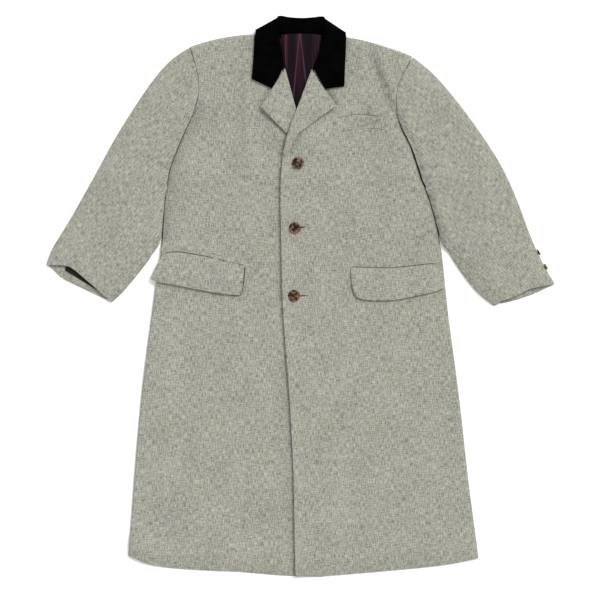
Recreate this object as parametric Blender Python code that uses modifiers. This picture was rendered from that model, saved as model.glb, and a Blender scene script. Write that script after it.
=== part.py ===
"""A single-breasted overcoat with a velvet collar, laid flat on its back.

The coat lies on the floor at Z = 0 with the collar towards +Y, and the origin is under the
middle of its outline. Lengths are in millimetres and are scaled to metres when a mesh is made.
Every panel is a sheet: a grid laid out between its seams, raised by the heights below it,
carried round its folds as an arc, and given its wall by Solidify.
"""
import math

import bmesh
import bpy
from mathutils import Vector

MM = 0.001

# Walls, from the face of the cloth to the face of its lining.
BODY_WALL = 2.4
SLEEVE_WALL = 2.3
LAPEL_WALL = 3.0
COLLAR_WALL = 2.8
LINING_WALL = 1.0
FLAP_WALL = 2.8
SEAM = 0.5
REST = 0.5
LAPEL_REST = 1.2

# Buttons.
BUTTON_DIAMETER = 25.0
BUTTON_THICKNESS = 4.0
CUFF_BUTTON_DIAMETER = 14.0
CUFF_BUTTON_THICKNESS = 3.0

# Heights of the body's face above the floor.
BACK_FACE = BODY_WALL
FRONT_FACE = BACK_FACE + REST + BODY_WALL + 0.3
OVERLAP_STEP = BODY_WALL + REST + 0.2
NECK_STEP = 3.6
CHEST_RISE = 3.6
ARC_STEPS = 5
UNDER_TURN = 10.0
FLAT_COLUMNS = 9
BODY_ROWS = 11
ARMHOLE_ROWS = 7
SLEEVE_ROWS = 8

# The outline of the body below and at the armhole, as x at each y.
SIDE_RIGHT = (
    (-600, -369), (-547, -371), (-461, -362), (-375, -356), (-268, -347), (-160, -336),
    (-74, -324), (12, -313), (98, -299), (141, -297), (177, -296), (231, -290),
    (254, -288), (308, -271), (356, -249), (384, -235), (419, -217), (450, -214),
    (471, -218), (504, -226), (532, -236),
)
SIDE_LEFT = (
    (-600, 386), (-547, 382), (-461, 369), (-375, 358), (-268, 347), (-160, 334),
    (-74, 321), (12, 312), (98, 303), (141, 297), (177, 288), (231, 271),
    (257, 258), (288, 252), (323, 241), (351, 223), (390, 207), (420, 202),
    (448, 206), (469, 215), (494, 230), (513, 238),
)
ARMPIT = 231
# Height of the body's edge at each y, at the side fold and along the armhole.
EDGE_RISE = ((-600, 9.5), (0, 11), (231, 13), (350, 14), (450, 16.5), (520, 20))

# The hem and the shoulder line, as y at each x.
HEM = (
    (-371, -560), (-343, -576), (-274, -586), (-203, -591), (-134, -593), (-63, -599),
    (-11, -604), (46, -603), (137, -596), (227, -588), (317, -579), (386, -566),
)
SHOULDER = (
    (-237, 532), (-188, 549), (-130, 560), (-98, 563), (-60, 566), (60, 561), (98, 557),
    (132, 550), (182, 534), (201, 528), (238, 512),
)
SHOULDER_RISE = ((0, 12.5), (60, 13), (120, 15), (238, 20))

# The front edges up to the break, then the lapels' roll lines, as x at each y.
FREE_EDGE = (
    (-604, -11), (-504, -13), (-379, -15), (-257, -21), (-133, -30), (-50, -37), (17, -40),
    (96, -41), (173, -43), (239, -43), (291, -40), (326, -35), (344, -29), (360, -24),
    (387, -14), (400, -8), (487, 24),
)
UNDER_EDGE = (
    (-604, 51), (-354, 44), (-195, 33), (-10, 24), (205, 22), (296, 20), (334, 12),
    (400, -9), (489, -33),
)
# Each front's neckline above its roll line, under the collar.
NECK_LEFT = ((513, 42), (540, 55), (553, 61))
NECK_RIGHT = ((513, -49), (540, -60), (557, -65))
ROLL_TURN = 5.8
TURN_START = 4.2

# The lapels' outer edges from the break to the notch.
LAPEL_LEFT = ((-24, 314), (-19, 327), (-9, 344), (9, 357), (42, 382), (76, 406), (52, 441))
LAPEL_RIGHT = ((-2, 324), (-29, 347), (-86, 405), (-61, 443))

# The sleeves' outlines from the cuff up: outer fold, and inner fold up to the armpit.
OUTER_RIGHT = (
    (-546, 67), (-536, 98), (-508, 141), (-483, 184), (-459, 227), (-435, 270), (-412, 313),
    (-388, 356), (-360, 399), (-332, 442), (-300, 485), (-281, 506), (-257, 526),
)
INNER_RIGHT = (
    (-405, -15), (-392, -9), (-377, 12), (-341, 55), (-310, 98), (-302, 120), (-300, 150),
    (-300, 185), (-293, ARMPIT),
)
OUTER_LEFT = (
    (547, 25), (528, 55), (506, 98), (489, 141), (474, 184), (457, 227), (437, 270),
    (412, 313), (382, 356), (351, 399), (317, 442), (278, 485), (255, 503),
)
INNER_LEFT = (
    (415, -22), (392, -7), (373, 12), (341, 55), (314, 98), (303, 125), (299, 155),
    (290, 190), (273, ARMPIT),
)
# Along the sleeve from cuff (0) to shoulder (1): fold heights, swell of the middle, and how far
# the hindarm seam lies in from the outer fold on the underside.
SLEEVE_FOLD = ((0, 10.5), (0.3, 12), (0.6, 13), (0.85, 16), (1, 20))
SLEEVE_SWELL = ((0, 1.5), (0.15, 3.5), (0.5, 5.5), (0.8, 6.0), (0.95, 3.0), (1, 0.5))
HINDARM = ((0, 40), (0.2, 30), (0.5, 24), (0.6, 40), (0.86, 400))
# Across each cuff from the inner fold to the outer: how far its edge is drawn up the sleeve, or
# let down below the line between the folds.
CUFF_TOP_RIGHT = ((0, 0), (0.28, 10), (0.47, 15), (0.63, 20), (0.77, 21), (0.9, 11), (1, 0))
CUFF_UNDER_RIGHT = ((0, 0), (0.32, -4), (0.55, -7), (0.78, -10), (0.93, -6), (1, 0))
CUFF_TOP_LEFT = ((0, 0), (0.12, 6), (0.25, 2), (0.37, 3.5), (0.56, 9), (0.72, 7), (0.92, 2), (1, 0))
CUFF_UNDER_LEFT = ((0, 0), (0.36, -5), (0.7, -5), (0.9, -3), (1, 0))


def between(table, at):
    """The value of a two-column table at a place between its rows."""
    if at <= table[0][0]:
        return table[0][1]
    for (low, first), (high, second) in zip(table, table[1:]):
        if at <= high:
            return first + (second - first) * (at - low) / (high - low)
    return table[-1][1]


def ease(value, start, end):
    """0 before start, 1 after end, and a smooth step between them."""
    part = min(1.0, max(0.0, (value - start) / (end - start)))
    return part * part * (3 - 2 * part)


def along(points, part):
    """The point at this share of a polyline's length."""
    points = [Vector(point) for point in points]
    lengths = [(b - a).length for a, b in zip(points, points[1:])]
    left = part * sum(lengths)
    for a, b, length in zip(points, points[1:], lengths):
        if left <= length:
            return a.lerp(b, left / length)
        left -= length
    return points[-1]


def smooth_path(points, joint=None, at=None):
    """A path by share of length; with a joint, that share of the length is reached at `at`."""
    def spot(part):
        if joint is None:
            return along(points, part)
        if part <= at:
            return along(points, joint * part / at)
        return along(points, joint + (1 - joint) * (part - at) / (1 - at))
    return spot


def stepped_path(lower, upper, at):
    """Lower by share of its length up to `at`, then one point of upper for each further row."""
    def spot(part):
        if part <= at:
            return along(lower, part / at)
        place = (part - at) / (1 - at) * (len(upper) - 1)
        index = min(int(place + 1e-6), len(upper) - 2)
        return upper[index].lerp(upper[index + 1], place - index)
    return spot


def share_of(points, index):
    """The share of a polyline's length that lies before one of its points."""
    lengths = [(Vector(b) - Vector(a)).length for a, b in zip(points, points[1:])]
    return sum(lengths[:index]) / sum(lengths)


def patch(bottom, top, left, right, across, up):
    """A point of the sheet stretched between four edges (a Coons patch)."""
    low = bottom(0).lerp(bottom(1), across)
    high = top(0).lerp(top(1), across)
    corners = low.lerp(high, up)
    return bottom(across).lerp(top(across), up) + left(up).lerp(right(up), across) - corners


# Heights of the layers that lie on each other, in the coat's own X and Y.
def neck_lift(x, y):
    """How far the back is held up by the collar's fall beneath it."""
    return NECK_STEP * ease(y, 465, 530) * (1 - ease(abs(x), 112, 150))


def back_face(x, y):
    return BACK_FACE + neck_lift(x, y)


def edge_x(x, y):
    return between(SIDE_RIGHT if x < 0 else SIDE_LEFT, y)


def body_face(x, y):
    """The face of a front that lies straight on the back."""
    base = FRONT_FACE + neck_lift(x, y)
    from_side = abs(edge_x(x, y)) - abs(x)
    side = (between(EDGE_RISE, y) - base) * (1 - ease(from_side, 8, 85))
    from_shoulder = between(SHOULDER, x) - y
    shoulder = (between(SHOULDER_RISE, abs(x)) - base) * (1 - ease(from_shoulder, 8, 110))
    chest = CHEST_RISE * ease(y, 290, 370) * (1 - ease(abs(x), 72, 150))
    return base + (side ** 4 + shoulder ** 4 + chest ** 4) ** 0.25


def under_face(x, y):
    """The face of the right front, which lies under."""
    return body_face(x, y)


def over_face(x, y):
    """The face of the left front: on the right front where they overlap, else on the back."""
    limit = between(UNDER_EDGE, y)
    step = OVERLAP_STEP * (1 - ease(x, limit + 6, limit + 60))
    lapel = (LAPEL_WALL + 7 * REST) * ease(y, 262, 300) * (1 - ease(x, 30, 95))
    return body_face(x, y) + step + lapel * (1 - ease(y, 385, 480))


# Materials and the making of one sheet.
def material(name, colour, roughness, metallic=0.0):
    made = bpy.data.materials.new(name)
    made.use_nodes = True
    shader = made.node_tree.nodes["Principled BSDF"]
    shader.inputs["Base Color"].default_value = (*colour, 1)
    shader.inputs["Roughness"].default_value = roughness
    shader.inputs["Metallic"].default_value = metallic
    made.diffuse_color = (*colour, 1)
    return made


def linked(name, mesh, finish, smooth=True):
    made = bpy.data.objects.new(name, mesh)
    coat.objects.link(made)
    made.parent = root
    mesh.materials.append(finish)
    if smooth:
        for face in mesh.polygons:
            face.use_smooth = True
    return made


def cloth(name, columns, rows, place, wall, finish, keep=None, turned=False):
    """A grid of columns x rows cells, each corner put at place(column, row), with a wall inside it."""
    work = bmesh.new()
    bmesh.ops.create_grid(work, x_segments=columns, y_segments=rows, size=1)
    spots = {}
    for corner in work.verts:
        column = round((corner.co.x + 1) / 2 * columns)
        row = round((corner.co.y + 1) / 2 * rows)
        spots[corner] = (column, row)
    if keep:
        dropped = [
            cell for cell in work.faces
            if not keep(min(spots[v][0] for v in cell.verts), min(spots[v][1] for v in cell.verts))
        ]
        bmesh.ops.delete(work, geom=dropped, context="FACES")
    for corner in work.verts:
        corner.co = Vector(place(*spots[corner])) * MM
    if turned:
        bmesh.ops.reverse_faces(work, faces=work.faces[:])
    mesh = bpy.data.meshes.new(name)
    work.to_mesh(mesh)
    work.free()
    made = linked(name, mesh, finish)
    shell = made.modifiers.new("wall", "SOLIDIFY")
    shell.thickness = wall * MM
    shell.offset = -1
    return made


def arc(start, outward, low, high, turn, reach=1.0):
    """A point on a fold: turn 0 is on the face above start, 1 is on the floor side under it."""
    radius = (high - low) / 2
    angle = math.pi * turn
    spot = Vector((start[0], start[1])) + Vector(outward) * radius * reach * math.sin(angle)
    return (spot.x, spot.y, low + radius + radius * math.cos(angle))


def side_reach(y):
    """How far the side's fold stands out for its height: less as it nears the armpit."""
    return 1 - 0.45 * ease(y, 120, ARMPIT)


class Side:
    """The shared seam points of one side of the body: side fold, armhole and shoulder corner."""

    def __init__(self, side, sign, corner_y):
        self.side = side
        self.sign = sign
        corner_x = between(side, corner_y + 9) - sign * 2
        radius = between(SHOULDER_RISE, abs(corner_x)) / 2
        self.corner = Vector((corner_x, between(SHOULDER, corner_x) - radius))
        self.radius = radius
        pit = Vector((between(side, ARMPIT), ARMPIT))
        hole = [pit] + [Vector((x, y)) for y, x in side if ARMPIT < y < self.corner.y - 8]
        self.hole = hole + [self.corner]

    def fold(self, y, inset):
        """The side fold at y, this much further in than the middle of its turn."""
        radius = between(EDGE_RISE, y) / 2 * side_reach(y)
        return Vector((between(self.side, y) - self.sign * (radius + inset), y))

    def outer(self, inset):
        """A panel's edge in two stretches: hem to armpit, and armpit to shoulder corner."""
        ys = [y for y, _ in self.side if -545 < y < ARMPIT] + [ARMPIT]
        start = between(HEM, between(self.side, -560) - self.sign * (5 + inset)) + 3
        lower = [Vector((self.fold(-560, inset).x, start))]
        lower += [self.fold(y, inset) for y in ys]
        shift = Vector((-self.sign * SEAM, 0))
        upper = [lower[-1]] + [spot + shift for spot in self.hole_points()[1:]]
        return lower, upper

    def hole_points(self):
        return [along(self.hole, part / ARMHOLE_ROWS) for part in range(ARMHOLE_ROWS + 1)]


def panel_edges(side, inner, neck):
    """The four edges of a front as paths, with rows shared out at the armpit."""
    sign = side.sign
    at = BODY_ROWS / (BODY_ROWS + ARMHOLE_ROWS)
    lower, upper = side.outer(0)
    outer = lower + upper[1:]
    far = stepped_path(lower, upper, at)
    near_joint = min(range(len(inner)), key=lambda i: abs(inner[i][1] - ARMPIT))
    near = smooth_path(inner, share_of(inner, near_joint), at)
    start = inner[0][0]
    hem = [inner[0]]
    hem += [
        (x, y) for x, y in sorted(HEM, key=lambda row: sign * row[0])
        if sign * start + 12 < sign * x < sign * outer[0].x - 12
    ]
    hem.append(outer[0])
    top = [neck]
    top += [
        (x, y - between(SHOULDER_RISE, abs(x)) / 2)
        for x, y in sorted(SHOULDER, key=lambda row: sign * row[0])
        if sign * neck[0] + 12 < sign * x < sign * outer[-1].x - 12
    ]
    top.append(outer[-1])
    return smooth_path(hem), smooth_path(top), near, far


def front(name, side, edge, neckline, face, finish):
    """One front: flat columns from the front edge to the side, then the side fold below the
    armpit, and rows that go over the shoulder."""
    flat, rows, sign = FLAT_COLUMNS, BODY_ROWS + ARMHOLE_ROWS, side.sign
    inner = []
    for y, x in edge:
        inner.append((x + sign * ROLL_TURN * ease(y, 285, 318), y))
    inner += [(x, y) for y, x in neckline]
    hem, top, near, far = panel_edges(side, inner, inner[-1])

    def plan(column, row):
        return patch(hem, top, near, far, column / flat, row / rows)

    def place(column, row):
        if row > rows:
            spot = plan(min(column, flat), rows)
            run = plan(min(column, flat - 1) + 1, rows) - plan(min(column, flat - 1), rows)
            run.normalize()
            outward = Vector((-run.y, run.x)) * sign
            low = neck_lift(spot.x, spot.y)
            if row > rows + ARC_STEPS:
                spot -= outward * UNDER_TURN
                return (spot.x, spot.y, neck_lift(spot.x, spot.y))
            return arc(spot, outward, low, face(spot.x, spot.y), (row - rows) / ARC_STEPS)
        spot = plan(min(column, flat), row)
        if column <= flat:
            return (spot.x, spot.y, face(spot.x, spot.y))
        run = plan(flat, min(row, rows - 1) + 1) - plan(flat, max(row - 1, 0))
        if row >= BODY_ROWS:
            run = plan(flat, BODY_ROWS) - plan(flat, BODY_ROWS - 1)
        run.normalize()
        outward = Vector((run.y, -run.x)) * sign
        if column > flat + ARC_STEPS:
            spot -= outward * UNDER_TURN
            return (spot.x, spot.y, 0)
        return arc(spot, outward, 0, face(spot.x, spot.y), (column - flat) / ARC_STEPS,
                   side_reach(spot.y))

    def keep(column, row):
        return (column < flat and row <= rows + ARC_STEPS) or row < BODY_ROWS

    return cloth(name, flat + ARC_STEPS + 1, rows + ARC_STEPS + 1, place, BODY_WALL, finish,
                 keep, turned=sign < 0)


def back(name, right, left, finish):
    """The back: one panel on the floor between the ends of the fronts' wraps."""
    columns, rows = 12, BODY_ROWS + ARMHOLE_ROWS
    inset = UNDER_TURN + SEAM
    at = BODY_ROWS / rows
    edges = []
    for side in (right, left):
        lower, upper = side.outer(inset)
        upper[-1] = upper[-2].lerp(upper[-1], 0.55)
        edges.append((lower + upper[1:], stepped_path(lower, upper, at)))
    hem = [edges[0][0][0]]
    hem += [(x, y + 3) for x, y in HEM if hem[0].x + 12 < x < edges[1][0][0].x - 12]
    hem.append(edges[1][0][0])
    shoulder = []
    for x, y in SHOULDER:
        drop = between(SHOULDER_RISE, abs(x)) / 2 + UNDER_TURN + 4 * SEAM
        if edges[0][0][-1].x + 14 < x < -62 or 62 < x < edges[1][0][-1].x - 14:
            shoulder.append((x, y - drop))
    low_side = [spot for spot in shoulder if spot[0] < 0]
    high_side = [spot for spot in shoulder if spot[0] > 0]
    neck = [(-61, 541), (-51, 555), (-25, 561.5), (0, 562.5), (25, 561.5), (47, 550), (55, 533)]
    top = [edges[0][0][-1]] + low_side + neck + high_side + [edges[1][0][-1]]

    def place(column, row):
        spot = patch(smooth_path(hem), smooth_path(top), edges[0][1], edges[1][1],
                     column / columns, row / rows)
        return (spot.x, spot.y, back_face(spot.x, spot.y))

    return cloth(name, columns, rows, place, BODY_WALL, finish)


def lining_face(x, y):
    """The lining in the neck: pleat at the middle, soft folds beside it."""
    pleat = 1.3 * math.exp(-((x - 3) / 5) ** 2)
    folds = 0.7 * math.exp(-((x + 26) / 8) ** 2) + 0.7 * math.exp(-((x - 31) / 8) ** 2)
    return back_face(x, y) + 2 * REST + LINING_WALL + (pleat + folds) * ease(y, 395, 450)


def neck_lining(name, finish):
    columns, rows = 14, 8

    def place(column, row):
        up = row / rows
        y = 372 + (562 - 372) * up
        half = 16 + 28 * up
        x = (column / columns * 2 - 1) * half + 2
        return (x, y - 3 * ease(abs(x), 20, 44) * up, lining_face(x, y))

    return cloth(name, columns, rows, place, LINING_WALL, finish)


def sleeve_sections(side, outer, inner):
    """Rows of a sleeve from cuff to shoulder: ends inside the folds, outward run and heights."""
    rows = SLEEVE_ROWS + ARMHOLE_ROWS
    at = SLEEVE_ROWS / rows
    sign = side.sign
    run_up = (side.corner - side.hole_points()[-2]).normalized()
    end = side.corner + Vector((sign * SEAM, 0)) + run_up * side.radius
    outer_path = smooth_path(list(outer) + [end], 0.45, at)
    hole = [spot + Vector((sign * SEAM, 0)) for spot in side.hole_points()]
    hole[-1] = side.corner + Vector((sign * 3 * SEAM, 0)) - run_up * 3
    sections = []
    for row in range(rows + 1):
        part = row / rows
        rim = outer_path(part)
        high = between(SLEEVE_FOLD, part)
        closed = row <= SLEEVE_ROWS
        start = along(inner, row / SLEEVE_ROWS) if closed else hole[row - SLEEVE_ROWS]
        run = (rim - start).normalized()
        reach = 1 - 0.45 * ease(part, at - 0.14, at)
        near = start + run * high / 2 * reach if closed else start
        near_high = high if closed else body_face(start.x, start.y)
        sections.append({
            "near": near, "far": rim - run * high / 2, "run": run, "part": part, "reach": reach,
            "near_high": near_high, "far_high": high, "closed": closed,
            "along": Vector((-run.y, run.x)) * sign,
            "dip": 1 - ease(part, 0, 0.16),
        })
    return sections


def dipped(section, across, cuff):
    """A point between the ends of a section, with the cuff's edge drawn up or let down."""
    spot = section["near"].lerp(section["far"], across)
    return spot + section["along"] * between(cuff, across) * section["dip"]


def sleeve(suffix, side, outer, inner, top_cuff, under_cuff, finish):
    """A two-piece sleeve laid flat: the top sleeve goes round both folds, the under sleeve
    closes it on the floor."""
    sections = sleeve_sections(side, outer, inner)
    rows = len(sections) - 1
    flat, turns = 8, ARC_STEPS + 1

    def top_place(column, row):
        section = sections[row]
        if column < turns:
            if column == 0:
                width = (section["far"] - section["near"]).length
                spot = dipped(section, UNDER_TURN * 0.5 / width, under_cuff)
                return (spot.x, spot.y, 0)
            return arc(section["near"], -section["run"], 0, section["near_high"],
                       1 - (column - 1) / ARC_STEPS, section["reach"])
        across = (column - turns) / flat
        if across <= 1:
            spot = dipped(section, across, top_cuff)
            level = section["near_high"] + (section["far_high"] - section["near_high"]) * across
            swell = between(SLEEVE_SWELL, section["part"]) * (4 * across * (1 - across)) ** 0.7
            return (spot.x, spot.y, level + swell)
        turn = (column - turns - flat) / ARC_STEPS
        if turn <= 1:
            return arc(section["far"], section["run"], 0, section["far_high"], turn)
        width = (section["far"] - section["near"]).length
        reach = min(between(HINDARM, section["part"]), width - 0.5)
        spot = dipped(section, 1 - reach / width, under_cuff)
        return (spot.x, spot.y, 0)

    def top_keep(column, row):
        return column >= turns or row < SLEEVE_ROWS

    cloth("sleeve_top_" + suffix, turns + flat + ARC_STEPS + 1, rows, top_place, SLEEVE_WALL,
          finish, top_keep, turned=side.sign < 0)

    under_rows = 0
    for section in sections:
        width = (section["far"] - section["near"]).length
        if between(HINDARM, section["part"]) < width - 14:
            under_rows += 1
    under_rows -= 1
    columns = 5

    def under_place(column, row):
        section = sections[row]
        width = (section["far"] - section["near"]).length
        low = (UNDER_TURN * 0.5 + 2 * SEAM) / width if section["closed"] else SEAM / width
        high = 1 - (between(HINDARM, section["part"]) + SEAM) / width
        spot = dipped(section, low + (high - low) * column / columns, under_cuff)
        return (spot.x, spot.y, 0)

    cloth("sleeve_under_" + suffix, columns, under_rows, under_place, SLEEVE_WALL, finish,
          turned=side.sign > 0)


def lapel(name, edge, outer, face, start_y, end_y, finish, sign):
    """A turned-back facing: rows from the break to the gorge, columns from under the roll, round
    it and out to the edge."""
    rows, flat, steps = 9, 6, 4
    roll = [(x, y) for y, x in edge if start_y < y < end_y]
    roll = [(between(edge, start_y), start_y)] + roll + [(between(edge, end_y), end_y)]
    joint = share_of(outer, len(outer) - 2)
    outer_path = smooth_path(outer, joint, 0.78)

    def place(column, row):
        part = row / rows
        rim = along(roll, part)
        far = outer_path(part)
        run = (far - rim).normalized()
        rise = 0.8 + 1.5 * ease(part, 0.05, 0.4)
        turn_at = rim + run * TURN_START
        level = face(turn_at.x, turn_at.y)
        if column <= steps:
            return arc(turn_at, -run, level - BODY_WALL, level + LAPEL_REST + LAPEL_WALL + rise,
                       1 - column / steps)
        across = (column - steps) / flat
        spot = turn_at.lerp(far, across)
        settle = rise * (1 - ease(across, 0.0, 0.8))
        return (spot.x, spot.y, face(spot.x, spot.y) + LAPEL_REST + LAPEL_WALL + settle)

    return cloth(name, steps + flat, rows, place, LAPEL_WALL, finish, turned=sign < 0)


# The collar's rows from its front end to the centre back. Each row: the seam end, the middle of the
# roll, its turn (the angle above outward that the roll faces, or None where the leaf lies flat) and
# the outer edge.
COLLAR_ROLL = 4.3
COLLAR_RIGHT = (
    ((-61.5, 444, 12.0), None, None, (-104.7, 464, 13.0)),
    ((-47, 467, 14.5), None, None, (-102.5, 490, 14.5)),
    ((-37, 490, 14), (-39, 493, 15.5), 118, (-101, 511, 17.5)),
    ((-45.5, 515, 13.5), (-41, 516, 17.5), 122, (-100, 530, 19)),
    ((-56.5, 540, 14), (-47, 541, 18.5), 122, (-99, 549, 19.5)),
    ((-61, 556, 14), (-51, 562, 18), 115, (-98, 559, 19)),
    ((-59, 560, 12.5), (-52, 577, 15), 85, (-96, 565.5, 17)),
    ((-56, 563, 10.5), (-51, 588, 10.8), 50, (-97.2, 570.6, 12.3)),
    ((-50, 564.5, 8.8), (-47, 597.3, 6.8), 20, (-97, 570.8, 5.5)),
    ((-41, 564.5, 7.4), (-40, 597.6, 4.5), 0, (-92, 564, 0.3)),
    ((-27, 564.5, 6.8), (-27, 594, 4.3), 0, (-62, 549, 0)),
    ((0, 564.5, 6.6), (0, 591.8, 4.3), 0, (0, 541, 0)),
)
COLLAR_LEFT = (
    ((53, 443, 15.5), None, None, (94, 448, 13.0)),
    ((40.5, 464, 16.5), None, None, (95, 475, 14.5)),
    ((28, 487, 14), (31, 489, 15.5), 118, (96, 500, 16.5)),
    ((38.5, 513, 13.5), (42, 515, 17.5), 122, (97, 524, 19)),
    ((52, 538, 14), (49, 540, 18.5), 122, (98, 545, 19.5)),
    ((58, 552, 14), (53, 558, 18), 115, (98.5, 554, 19)),
    ((57, 556, 12.5), (54, 574, 15), 85, (97, 560, 17)),
    ((54, 560, 10.5), (53, 586, 10.8), 50, (98, 564.4, 12.3)),
    ((48, 563, 8.8), (49.5, 595.8, 6.8), 20, (97.6, 565, 5.5)),
    ((41, 564.5, 7.4), (42, 596.2, 4.5), 0, (92, 559, 0.3)),
    ((27, 564.5, 6.8), (28, 593.5, 4.3), 0, (62, 546, 0)),
)


def collar_row(row, stand, turns, fall):
    """The face of the velvet along one row: up the stand, round the roll and down the fall."""
    seam, middle, turn, edge = row
    seam, edge = Vector(seam), Vector(edge)
    if middle is None:
        rolled = stand + turns
        shares = [0.16 * step / rolled for step in range(rolled)]
        shares += [0.16 + 0.84 * step / fall for step in range(fall + 1)]
        return [seam.lerp(edge, share) for share in shares]
    middle = Vector(middle)
    outward = (edge - middle) if turn > 40 else Vector((0, 1, 0))
    if 0 < turn <= 40:
        outward = Vector((math.copysign(0.5, middle.x), 1, 0))
    outward = Vector((outward.x, outward.y, 0)).normalized()
    points = []
    for step in range(turns + 1):
        angle = math.radians(turn + 90 - 180 * step / turns)
        points.append(middle + COLLAR_ROLL * (outward * math.cos(angle)
                                              + Vector((0, 0, math.sin(angle)))))
    rising = [seam.lerp(points[0], step / stand) for step in range(stand)]
    falling = [points[-1].lerp(edge, step / fall) for step in range(1, fall + 1)]
    return rising + points + falling


def collar(name, finish):
    stand, turns, fall = 3, 4, 5
    rows = [collar_row(row, stand, turns, fall) for row in COLLAR_RIGHT]
    rows += [collar_row(row, stand, turns, fall) for row in reversed(COLLAR_LEFT)]

    def place(column, row):
        return rows[row][column]

    return cloth(name, stand + turns + fall, len(rows) - 1, place, COLLAR_WALL, finish,
                 turned=True)


# Pockets: each as its sewn top edge and its loose lower edge, from the outer end to the inner end.
FLAP_RIGHT_TOP = ((-297, 86), (-280, 92), (-258, 92.5), (-208, 83), (-121, 61))
FLAP_RIGHT_LOW = ((-323, 36), (-318, 30), (-287, 26), (-208, 10), (-146, 0), (-131, 2), (-125, 14))
FLAP_LEFT_TOP = ((300, 66), (278, 67), (243, 63), (195, 58), (107, 60))
FLAP_LEFT_LOW = ((307, 16), (301, 11), (262, 2), (224, -6), (189, -11), (133, -10), (119, -4), (111, 8))
WELT_TOP = ((70, 378), (117, 388), (144, 387), (182, 382))
WELT_LOW = ((70, 354), (117, 356), (160, 357), (181, 357))


def pocket_piece(name, top, low, columns, rows, wall, face, side, finish, turned):
    """A flap or welt that lies on the front, and hangs a little where it passes the side fold."""
    def place(column, row):
        spot = along(low, column / columns).lerp(along(top, column / columns), row / rows)
        fold_x = side.fold(spot.y, 2).x
        past = max(0.0, (spot.x - fold_x) * side.sign)
        held = fold_x if past else spot.x
        return (spot.x, spot.y, face(held, spot.y) + REST + 0.4 + wall - past * past * 0.006)

    return cloth(name, columns, rows, place, wall, finish, turned=turned)


def button(name, centre, diameter, thickness, tilt, finish):
    """A turned button: a flat back, a rounded rim and a dished face."""
    radius = diameter / 2
    profile = (
        (0, 0), (radius * 0.72, 0), (radius * 0.95, thickness * 0.28), (radius, thickness * 0.55),
        (radius * 0.96, thickness * 0.86), (radius * 0.86, thickness),
        (radius * 0.72, thickness * 0.9), (radius * 0.56, thickness * 0.66), (0, thickness * 0.6),
    )
    work = bmesh.new()
    ring = [work.verts.new((x * MM, 0, z * MM)) for x, z in profile]
    line = [work.edges.new(pair) for pair in zip(ring, ring[1:])]
    bmesh.ops.spin(work, geom=ring + line, axis=(0, 0, 1), cent=(0, 0, 0), steps=24,
                   angle=math.tau, use_merge=True)
    bmesh.ops.remove_doubles(work, verts=work.verts[:], dist=0.01 * MM)
    bmesh.ops.recalc_face_normals(work, faces=work.faces[:])
    mesh = bpy.data.meshes.new(name)
    work.to_mesh(mesh)
    work.free()
    made = linked(name, mesh, finish)
    made.location = Vector(centre) * MM
    made.rotation_euler = [math.radians(angle) for angle in tilt]
    return made


# Each front button's place on the left front and its height above it, which is more where the
# front slopes, and each cuff button's place on the left sleeve's fold.
FRONT_BUTTONS = ((-5.4, 284, 1.5), (-12.3, 145, 0.4), (-14.2, -0.6, 0.4))
CUFF_BUTTONS = ((510.0, 92), (525.3, 61.3))
CUFF_SLOPE = 28

bpy.ops.object.select_all(action="DESELECT")
for old in list(bpy.data.objects):
    bpy.data.objects.remove(old)
coat = bpy.data.collections.new("overcoat")
bpy.context.scene.collection.children.link(coat)
root = bpy.data.objects.new("overcoat", None)
coat.objects.link(root)

tweed = material("grey_tweed", (0.38, 0.38, 0.34), 0.95)
velvet = material("black_velvet", (0.004, 0.004, 0.005), 0.9)
striped = material("striped_lining", (0.045, 0.02, 0.032), 0.45)
horn = material("mottled_button", (0.14, 0.06, 0.025), 0.3)

right_side = Side(SIDE_RIGHT, -1, 523)
left_side = Side(SIDE_LEFT, 1, 504)
front("front_right", right_side, UNDER_EDGE, NECK_RIGHT, under_face, tweed)
front("front_left", left_side, FREE_EDGE, NECK_LEFT, over_face, tweed)
back("back", right_side, left_side, tweed)
neck_lining("neck_lining", striped)
sleeve("right", right_side, OUTER_RIGHT, INNER_RIGHT, CUFF_TOP_RIGHT, CUFF_UNDER_RIGHT, tweed)
sleeve("left", left_side, OUTER_LEFT, INNER_LEFT, CUFF_TOP_LEFT, CUFF_UNDER_LEFT, tweed)
lapel("lapel_right", UNDER_EDGE, LAPEL_RIGHT, under_face, 334, 487, tweed, -1)
lapel("lapel_left", FREE_EDGE, LAPEL_LEFT, over_face, 320, 485, tweed, 1)
collar("collar", velvet)
pocket_piece("flap_right", FLAP_RIGHT_TOP, FLAP_RIGHT_LOW, 12, 4, FLAP_WALL, under_face,
             right_side, tweed, False)
pocket_piece("flap_left", FLAP_LEFT_TOP, FLAP_LEFT_LOW, 12, 4, FLAP_WALL, over_face,
             left_side, tweed, True)
pocket_piece("breast_welt", WELT_TOP, WELT_LOW, 6, 2, BODY_WALL, over_face, left_side, tweed,
             False)
for number, (x, y, rest) in enumerate(FRONT_BUTTONS, 1):
    button(f"button_{number}", (x, y, over_face(x, y) + rest), BUTTON_DIAMETER,
           BUTTON_THICKNESS, (0, 0, 0), horn)
for number, (x, y) in enumerate(CUFF_BUTTONS, 1):
    button(f"cuff_button_{number}", (x, y, 7.6), CUFF_BUTTON_DIAMETER,
           CUFF_BUTTON_THICKNESS, (0, 90, CUFF_SLOPE), horn)
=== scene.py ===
# %% [markdown]
# This lesson dresses a man's overcoat that lies flat on its back. The frame gives the coat as plain
# solids, one for each cut piece. Here each solid is copied, smoothed and given its soft folds, and
# the tweed, velvet, lining and buttons get their finish.

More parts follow.
